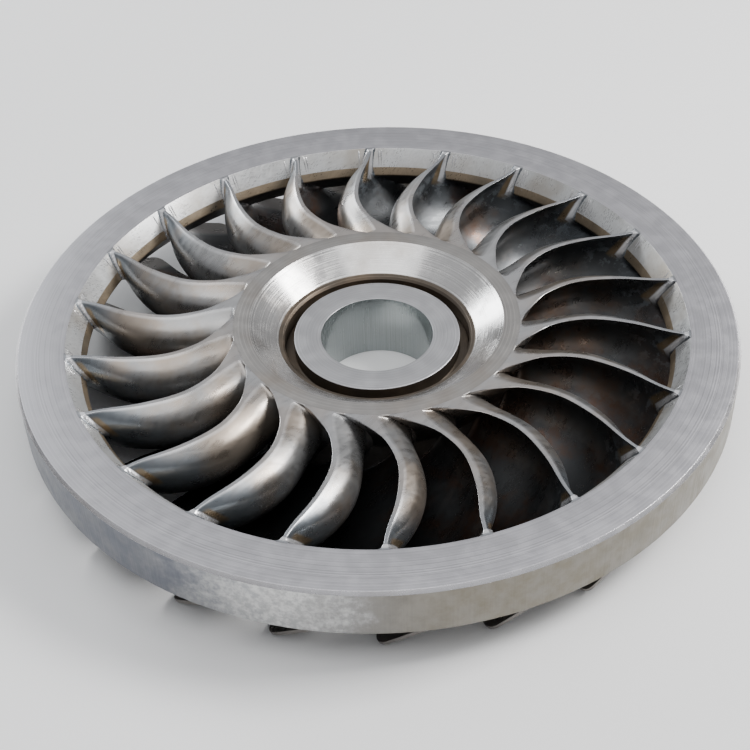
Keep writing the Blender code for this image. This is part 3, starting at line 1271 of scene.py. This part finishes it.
    def dressed_face(self, radius: float, side: Side, kept: float) -> np.ndarray:
        """One face with its fillets at the hub and the ring, and the finger on its back.

        Args:
            radius: The radius of the section.
            side: Which face it is.
            kept: The share of the section that is there.

        Returns:
            The points of the face.
        """
        plan = self.plan
        curve = self.face(radius, side, kept)
        depths = -curve[:, 1]
        gap = plan.wall_at(depths) - radius
        fade = np.clip((plan.inlet - plan.ring_foot - depths) / self.fillet_fade, 0, 1)
        fade = fade**2 * (3 - 2 * fade)
        added = self.flare(gap, self.ring_fillet) * fade + self.bead(gap, depths)
        from_hub = np.full_like(depths, radius - plan.hub_radius)
        curve[:, 0] += side.value * np.maximum(added, self.flare(from_hub, self.root_fillet))
        if side is Side.CONCAVE and radius < self.finger_radius:
            over = (curve[:, 0] - self.finger_back(radius, depths)) / self.blend
            over = np.clip(over, -self.soft_limit, self.soft_limit)
            curve[:, 0] = curve[:, 0] - self.blend * np.log1p(np.exp(over))
        return curve

    def kept_at(self, radius: float) -> float:
        """The share of the section that the rounded tip leaves at a radius."""
        near = min(max(1 - (self.tip_radius - radius) / self.tip_round, 0.0), 1.0)
        return 1 - self.tip_cut * (1 - math.sqrt(1 - near**2))

    def resampled(self, curve: np.ndarray, used: float) -> np.ndarray:
        """Points along a face below its rounding, closer together near its top.

        Args:
            curve: The face.
            used: The length of it that the rounding takes.

        Returns:
            The points, from the rounding down to the outlet.
        """
        steps = np.linalg.norm(np.diff(curve, axis=0), axis=1)
        lengths = np.concatenate([[0.0], np.cumsum(steps)])
        share = np.linspace(0, 1, self.wall_cells + 1)
        share = self.even_share * share + (1 - self.even_share) * share**self.crowding
        wanted = used + (lengths[-1] - self.lip - used) * share
        return np.stack([np.interp(wanted, lengths, curve[:, k]) for k in range(2)], 1)

    def top_round(
        self, curve: np.ndarray, inward: float, radius: float, strip: float
    ) -> tuple[np.ndarray, float]:
        """Rounds the top edge between the flat strip and a face.

        Args:
            curve: The face, from its top edge down.
            inward: Which way the strip runs from the edge, 1 or -1.
            radius: The rounding's radius.
            strip: The strip's width.

        Returns:
            The points of the rounding, strip first, and the length of the face that it takes.
        """
        edge = curve[0]
        reach = np.linalg.norm(curve - edge, axis=1)
        down = curve[int(np.argmax(reach > 2 * radius))] - edge
        down /= np.linalg.norm(down)
        flat = np.array((inward, 0.0))
        half = math.acos(float(np.clip(down @ flat, -1, 1))) / 2
        length = min(radius / math.tan(half), self.strip_share * abs(strip))
        start, end = edge + flat * length, edge + down * length
        t = np.linspace(0, 1, self.round_cells + 1)[:, None]
        return (1 - t) ** 2 * start + 2 * t * (1 - t) * edge + t**2 * end, length

    def section(self, radius: float) -> np.ndarray:
        """The closed section at a radius: strip, convex face, outlet edge and concave face.

        Args:
            radius: The radius of the section.

        Returns:
            The points of the closed outline.
        """
        kept = self.kept_at(radius)
        convex, concave = (self.dressed_face(radius, side, kept) for side in Side)
        strip = convex[0, 0] - concave[0, 0]
        front, used_front = self.top_round(convex, -1.0, self.convex_round.at(radius), strip)
        back, used_back = self.top_round(concave, 1.0, self.concave_round.at(radius), strip)
        outer, inner = self.resampled(convex, used_front), self.resampled(concave, used_back)
        t = np.linspace(0, 1, self.strip_cells + 1)[1:-1, None]
        top = back[0] * (1 - t) + front[0] * t
        across = concave[-1] - convex[-1]
        across *= self.lip / np.linalg.norm(across)
        outlet = np.stack([convex[-1] + across, concave[-1] - across])
        return np.concatenate([top, front[:-1], outer, outlet, inner[::-1], back[:-1][::-1]])

    def stations(self) -> list[tuple[float, float]]:
        """The radii of the sections, each with the least depth of its points.

        Returns:
            A (radius, least depth) for each section, from the hub out to the tip.
        """
        plan = self.plan
        root, wall = plan.hub_radius, plan.ring_inner
        inset, depth = self.buried
        out = [(root - plan.hub_round - inset, depth), (root - plan.hub_round, 0.0)]
        out += [(root + gap * MM, 0.0) for gap in self.root_gaps]
        first, fine = out[-1][0], plan.waist_radius - self.fillets_out * self.ring_fillet
        for start, end, cells in ((first, fine, self.passage_cells), (fine, wall, self.ring_cells)):
            out += [(start + (end - start) * (i + 1) / cells, 0.0) for i in range(cells)]
        out.append((wall + plan.edge_round, 0.0))
        out += [(wall + gap * MM, self.under_ring) for gap in self.ring_gaps]
        ends = (self.tip_radius - self.tip_round * (1 - share) for share in self.tip_shares)
        return out + [(end, self.under_ring) for end in ends]

    def faces(self, count: int, loops: int) -> list[tuple[int, ...]]:
        """The faces of a blade: those between its sections, and a cap at each end.

        Args:
            count: How many points a section has.
            loops: How many sections there are.

        Returns:
            The numbers of the points of each face.
        """
        faces = loft(loops, count)
        first = self.strip_cells - 1
        for base in (0, (loops - 1) * count):
            for j in range(self.round_cells + self.wall_cells + 1):
                left, right = first + j, count - 1 - j
                if right - left > 1:
                    faces.append((base + left, base + left + 1, base + right - 1, base + right))
            faces.append(tuple(base + j for j in (count - 1, *range(first + 1))))
        return faces

    def mesh(self) -> Mesh:
        """Lofts the sections into one closed blade with its leading edge's end at angle 0.

        Returns:
            The blade's mesh, with how deep, how far inside its cup and how far from the ring's
            wall each point is.
        """
        points, depths, gaps = [], [], []
        for radius, least in self.stations():
            loop = self.section(radius)
            depth = np.maximum(-loop[:, 1], least)
            angle = self.leading.at(radius) + loop[:, 0] / radius
            x, y = radius * np.cos(angle), radius * np.sin(angle)
            points.append(np.stack([x, y, self.plan.inlet - depth], 1))
            depths.append(depth)
            gaps.append(self.plan.wall_at(depth) - radius)
        count, loops = len(points[0]), len(points)
        strip = self.strip_cells - 1
        outer = strip + self.round_cells + self.wall_cells + 1
        cups = [0.5 if j < strip else float(j > outer) for j in range(count)]
        made = bpy.data.meshes.new("blade")
        made.from_pydata(np.concatenate(points).tolist(), [], self.faces(count, loops))
        carried = {
            "cup": np.tile(cups, loops),
            "depth": np.concatenate(depths),
            "gap": np.concatenate(gaps),
        }
        for name, values in carried.items():
            attribute = made.attributes.new(name, "FLOAT", "POINT")
            attribute.data.foreach_set("value", values.astype(np.float32))
        return closed(made)


@dataclass
class BladeRow:
    """The blades, each a casting of its own that replaces its solid."""

    plan: RunnerPlan
    form: BladeForm
    flat_depth: float = 0.02 * MM
    flat_tilt: float = 0.9

    def build(self) -> list[Mesh]:
        """Copies the blade's mesh to each place round the hub.

        Returns:
            One mesh for each blade.
        """
        pattern = self.form.mesh()
        meshes = []
        for number in range(self.plan.blades):
            mesh = pattern.copy()
            turn = self.plan.first_angle + number * self.plan.pitch
            mesh.transform(Matrix.Rotation(turn, 4, "Z"))
            meshes.append(mesh)
        return meshes

    def dress(self, meshes: Sequence[Mesh], finishes: Finishes) -> None:
        """Gives the blades their finishes: ground on top, polished and cast below.

        Args:
            meshes: The blades.
            finishes: The finishes to use.
        """
        flat, tilt = self.plan.inlet - self.flat_depth, self.flat_tilt
        finger = self.form.finger_radius
        ground: list[Zone] = [
            (finishes.hub_face, lambda r, z, n: z > flat and n.z > tilt and r < finger),
            (finishes.edge, lambda r, z, n: z > flat and n.z > tilt and r >= finger),
        ]
        for number, mesh in enumerate(meshes, 1):
            mesh.materials.append(finishes.blade)
            paint(mesh, ground)
            show(mesh, f"cup_{number:02d}", [f"blade_{number:02d}"])


@dataclass
class WallSeams:
    """The thin raised seams down the ring's inner wall on both sides of each blade."""

    plan: RunnerPlan
    width: float = 1.6 * MM
    height: float = 0.9 * MM
    inset: float = 0.2 * MM
    top: float = 0.8 * MM
    foot: float = 19.0 * MM
    aside: tuple[float, ...] = (math.radians(-2.6), math.radians(-2.05), math.radians(2.3))
    shorter: float = 0.08
    taper_power: int = 6
    least_size: float = 0.02
    cells: int = 10
    around: int = 6

    def ridge(self, aside: float, foot: float) -> list[tuple[float, float, float]]:
        """The points of one slim half-round ridge that tapers at both ends.

        Args:
            aside: Its angle from the blade's ring end.
            foot: How deep it ends.

        Returns:
            The points, loop by loop from its top.
        """
        points = []
        for i in range(self.cells + 1):
            share = i / self.cells
            depth = self.top + (foot - self.top) * share
            size = math.sqrt(max(1 - (2 * share - 1) ** self.taper_power, self.least_size))
            for j in range(self.around):
                turn = 2 * math.pi * j / self.around
                out = self.inset - self.height * size * math.cos(turn)
                angle = aside + self.width / 2 * size * math.sin(turn) / self.plan.ring_inner
                radius = float(self.plan.wall_at(depth)) + out
                x, y = radius * math.cos(angle), radius * math.sin(angle)
                points.append((x, y, self.plan.inlet - depth))
        return points

    def pattern(self) -> Mesh:
        """One blade's seams, with the blade's ring end at angle 0, each shorter than the last.

        Returns:
            The mesh of one blade's seams.
        """
        points, faces = [], []
        for number, aside in enumerate(self.aside):
            base = len(points)
            points += self.ridge(aside, self.foot * (1 - self.shorter * number))
            faces += loft(self.cells + 1, self.around, base)
            for end in (base, base + self.cells * self.around):
                faces.append(tuple(range(end, end + self.around)))
        mesh = bpy.data.meshes.new("wall_seams")
        mesh.from_pydata(points, [], faces)
        return mesh

    def build(self, ring: RoundRepeat, finishes: Finishes) -> Mesh:
        """Repeats the seams at each blade."""
        count, first = self.plan.blades, self.plan.first_angle
        return ring.repeat("wall_seams", self.pattern(), count, first, finishes.seam)

    def dress(self, mesh: Mesh) -> bpy.types.Object:
        """Shows the seams as a piece of their own."""
        return show(mesh, "wall_seams", [])


@dataclass(frozen=True)
class Lamp:
    """A soft rectangular light, its power in watts."""

    name: str
    place: tuple[float, float, float]
    size: tuple[float, float]
    power: float
    colour: Colour

    def build(self, target: Vector) -> None:
        """Adds the light, facing a target.

        Args:
            target: What the light faces.
        """
        light = bpy.data.lights.new(self.name, "AREA")
        light.shape = "RECTANGLE"
        light.size, light.size_y = self.size
        light.energy, light.color = self.power, self.colour
        holder = bpy.data.objects.new(self.name, light)
        holder.location = self.place
        aim = target - Vector(self.place)
        holder.rotation_euler = aim.to_track_quat("-Z", "Y").to_euler()
        bpy.context.scene.collection.objects.link(holder)


@dataclass(frozen=True)
class Studio:
    """The floor, the sky, the lights and the camera."""

    plan: RunnerPlan
    elevation: float = math.radians(41.463)
    roll: float = math.radians(-2.239)
    distance: float = 1216.4 * MM
    aside: float = -3.0 * MM
    raised: float = -48.8 * MM
    lens: float = 69.6
    sensor: float = 36.0
    floor_size: float = 14.0
    floor_roughness: float = 0.85
    floor_clouds: float = 3.0
    floor_colours: tuple[Colour, Colour] = ((0.90, 0.90, 0.90), (0.93, 0.93, 0.93))
    sky: tuple[tuple[float, Colour], ...] = (
        (0.1, (0.12, 0.12, 0.125)),
        (0.75, (0.62, 0.63, 0.65)),
    )
    lamps: tuple[Lamp, ...] = (
        Lamp("key", (1.75, 0.25, 1.65), (0.9, 0.9), 72.0, (1.0, 0.99, 0.98)),
        Lamp("overhead", (-0.2, -0.6, 2.6), (2.0, 2.0), 30.0, (1.0, 1.0, 1.0)),
        Lamp("far", (-1.6, 1.85, 1.1), (1.0, 0.7), 32.0, (0.95, 0.98, 1.0)),
    )

    @property
    def target(self) -> Vector:
        """The middle of the runner's inlet face, which the lights face."""
        return Vector((0.0, 0.0, self.plan.inlet))

    def build(self) -> None:
        """Builds all of it."""
        self.add_floor()
        self.add_sky()
        for lamp in self.lamps:
            lamp.build(self.target)
        self.add_camera()

    def add_floor(self) -> None:
        """Adds the pale floor that the runner's boss stands on."""
        bpy.ops.mesh.primitive_plane_add(size=self.floor_size)
        floor = bpy.context.object
        floor.name = "floor"
        sheet = ShaderSheet("pale_floor")
        sheet.surface["Roughness"].default_value = self.floor_roughness
        colour = sheet.mix(sheet.noise(self.floor_clouds), *self.floor_colours)
        sheet.feed(sheet.surface["Base Color"], colour)
        floor.data.materials.append(sheet.material)

    def add_sky(self) -> None:
        """Adds a sky that is pale above and dim towards the horizon."""
        world = bpy.data.worlds.new("studio")
        bpy.context.scene.world = world
        world.use_nodes = True
        sheet = NodeSheet(world.node_tree)
        place = sheet.add("ShaderNodeTexCoord", {}).outputs["Generated"]
        height = sheet.add("ShaderNodeSeparateXYZ", {0: place}).outputs[2]
        ramp = sheet.add("ShaderNodeValToRGB", {0: height})
        for stop, (position, colour) in zip(ramp.color_ramp.elements, self.sky):
            stop.position, stop.color = position, (*colour, 1.0)
        background = sheet.tree.nodes["Background"].inputs
        sheet.feed(background["Color"], ramp.outputs[0])
        background["Strength"].default_value = 1.0

    def add_camera(self) -> None:
        """Adds the camera at the photograph's viewpoint."""
        back = Vector((0.0, -math.cos(self.elevation), math.sin(self.elevation)))
        across = Vector((1.0, 0.0, 0.0))
        upward = back.cross(across)
        turned_across = across * math.cos(self.roll) + upward * math.sin(self.roll)
        turned_up = upward * math.cos(self.roll) - across * math.sin(self.roll)
        place = self.target + back * self.distance
        place += across * self.aside + upward * self.raised
        frame = Matrix((turned_across, turned_up, back)).transposed().to_4x4()
        frame.translation = place
        camera = bpy.data.cameras.new("camera")
        camera.lens = self.lens
        camera.sensor_width = self.sensor
        holder = bpy.data.objects.new("camera", camera)
        holder.matrix_world = frame
        bpy.context.scene.collection.objects.link(holder)
        bpy.context.scene.camera = holder


def plain(bounds: object) -> list[list[float]]:
    return [[float(value) for value in corner] for corner in bounds]


def main() -> None:
    logging.basicConfig(level=logging.INFO, format="%(name)s: %(message)s")
    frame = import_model()
    plan = RunnerPlan.read(list(frame["nodes"]))
    finishes = Finishes()
    lathe = Lathe()
    turned = (
        (OuterRing(plan), finishes.face),
        (Hub(plan), finishes.hub_face),
        (Boss(plan), finishes.boss_face),
    )
    for part, material in turned:
        part.dress(part.build(lathe, material), finishes)
    seams = WallSeams(plan)
    seams.dress(seams.build(RoundRepeat(), finishes))
    blades = BladeRow(plan, BladeForm(plan))
    blades.dress(blades.build(), finishes)
    Studio(plan).build()


if __name__ == "__main__":
    main()
